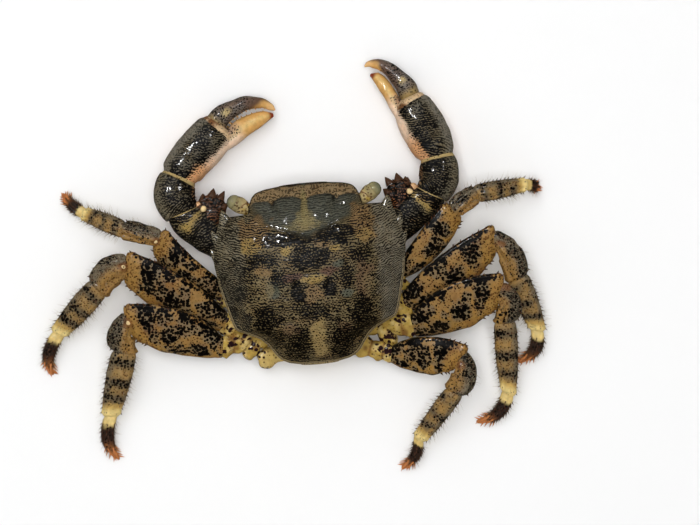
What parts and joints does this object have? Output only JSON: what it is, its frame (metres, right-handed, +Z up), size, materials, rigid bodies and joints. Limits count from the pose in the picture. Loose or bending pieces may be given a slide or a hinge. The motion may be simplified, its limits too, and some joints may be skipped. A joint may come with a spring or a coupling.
{
  "type": "shore crab",
  "caption": "Life-size shore crab at rest, seen with spread flattened walking legs, curved claws, a domed shell with toothed sides, and a lost hind leg.",
  "frame": {"origin": "on the floor under the middle of the whole spread, legs and claws included", "axes": "+Y to the crab's front, +X to its right side as seen from above, +Z up"},
  "size_m": [0.0984, 0.0782, 0.0156],
  "materials": {
    "shell": "wet, finely grained shell, olive grey with black and ochre marbling",
    "limb": "smooth damp shell, ochre olive with black blotches",
    "claw": "glossy dark violet grey shell with fine striae, tan on the inner side",
    "finger": "glossy, dark violet grey with a pale tip",
    "belly": "smooth cream to yellow underside shell",
    "eyestalk": "smooth, speckled yellow olive",
    "eye": "very glossy dark grey green"
  },
  "bodies": {
    "root": {"carapace": "shell", "thorax": "belly", "abdomen": "belly", "mouth_plate_left": "belly", "mouth_plate_right": "belly", "antenna_left": "limb", "antenna_right": "limb", "eyestalk_left": "eyestalk", "eyestalk_right": "eyestalk", "eye_left": "eye", "eye_right": "eye", "claw_left_base": "belly", "claw_left_merus": "claw", "claw_left_carpus": "claw", "claw_left_palm": "claw", "claw_left_finger": "finger", "claw_right_base": "belly", "claw_right_merus": "claw", "claw_right_carpus": "claw", "claw_right_palm": "claw", "claw_right_finger": "finger", "leg1_left_base": "limb", "leg1_left_merus": "limb", "leg1_left_carpus": "limb", "leg1_left_propodus": "limb", "leg1_left_dactyl": "limb", "leg2_left_base": "limb", "leg2_left_merus": "limb", "leg2_left_carpus": "limb", "leg2_left_propodus": "limb", "leg2_left_dactyl": "limb", "leg3_left_base": "limb", "leg3_left_merus": "limb", "leg3_left_carpus": "limb", "leg3_left_propodus": "limb", "leg3_left_dactyl": "limb", "leg4_left_stump": "limb", "leg1_right_base": "limb", "leg1_right_merus": "limb", "leg1_right_carpus": "limb", "leg1_right_propodus": "limb", "leg1_right_dactyl": "limb", "leg2_right_base": "limb", "leg2_right_merus": "limb", "leg2_right_carpus": "limb", "leg2_right_propodus": "limb", "leg2_right_dactyl": "limb", "leg3_right_base": "limb", "leg3_right_merus": "limb", "leg3_right_carpus": "limb", "leg3_right_propodus": "limb", "leg3_right_dactyl": "limb", "leg4_right_base": "limb", "leg4_right_merus": "limb", "leg4_right_carpus": "limb", "leg4_right_propodus": "limb", "leg4_right_dactyl": "limb"}
  },
  "joints": []
}
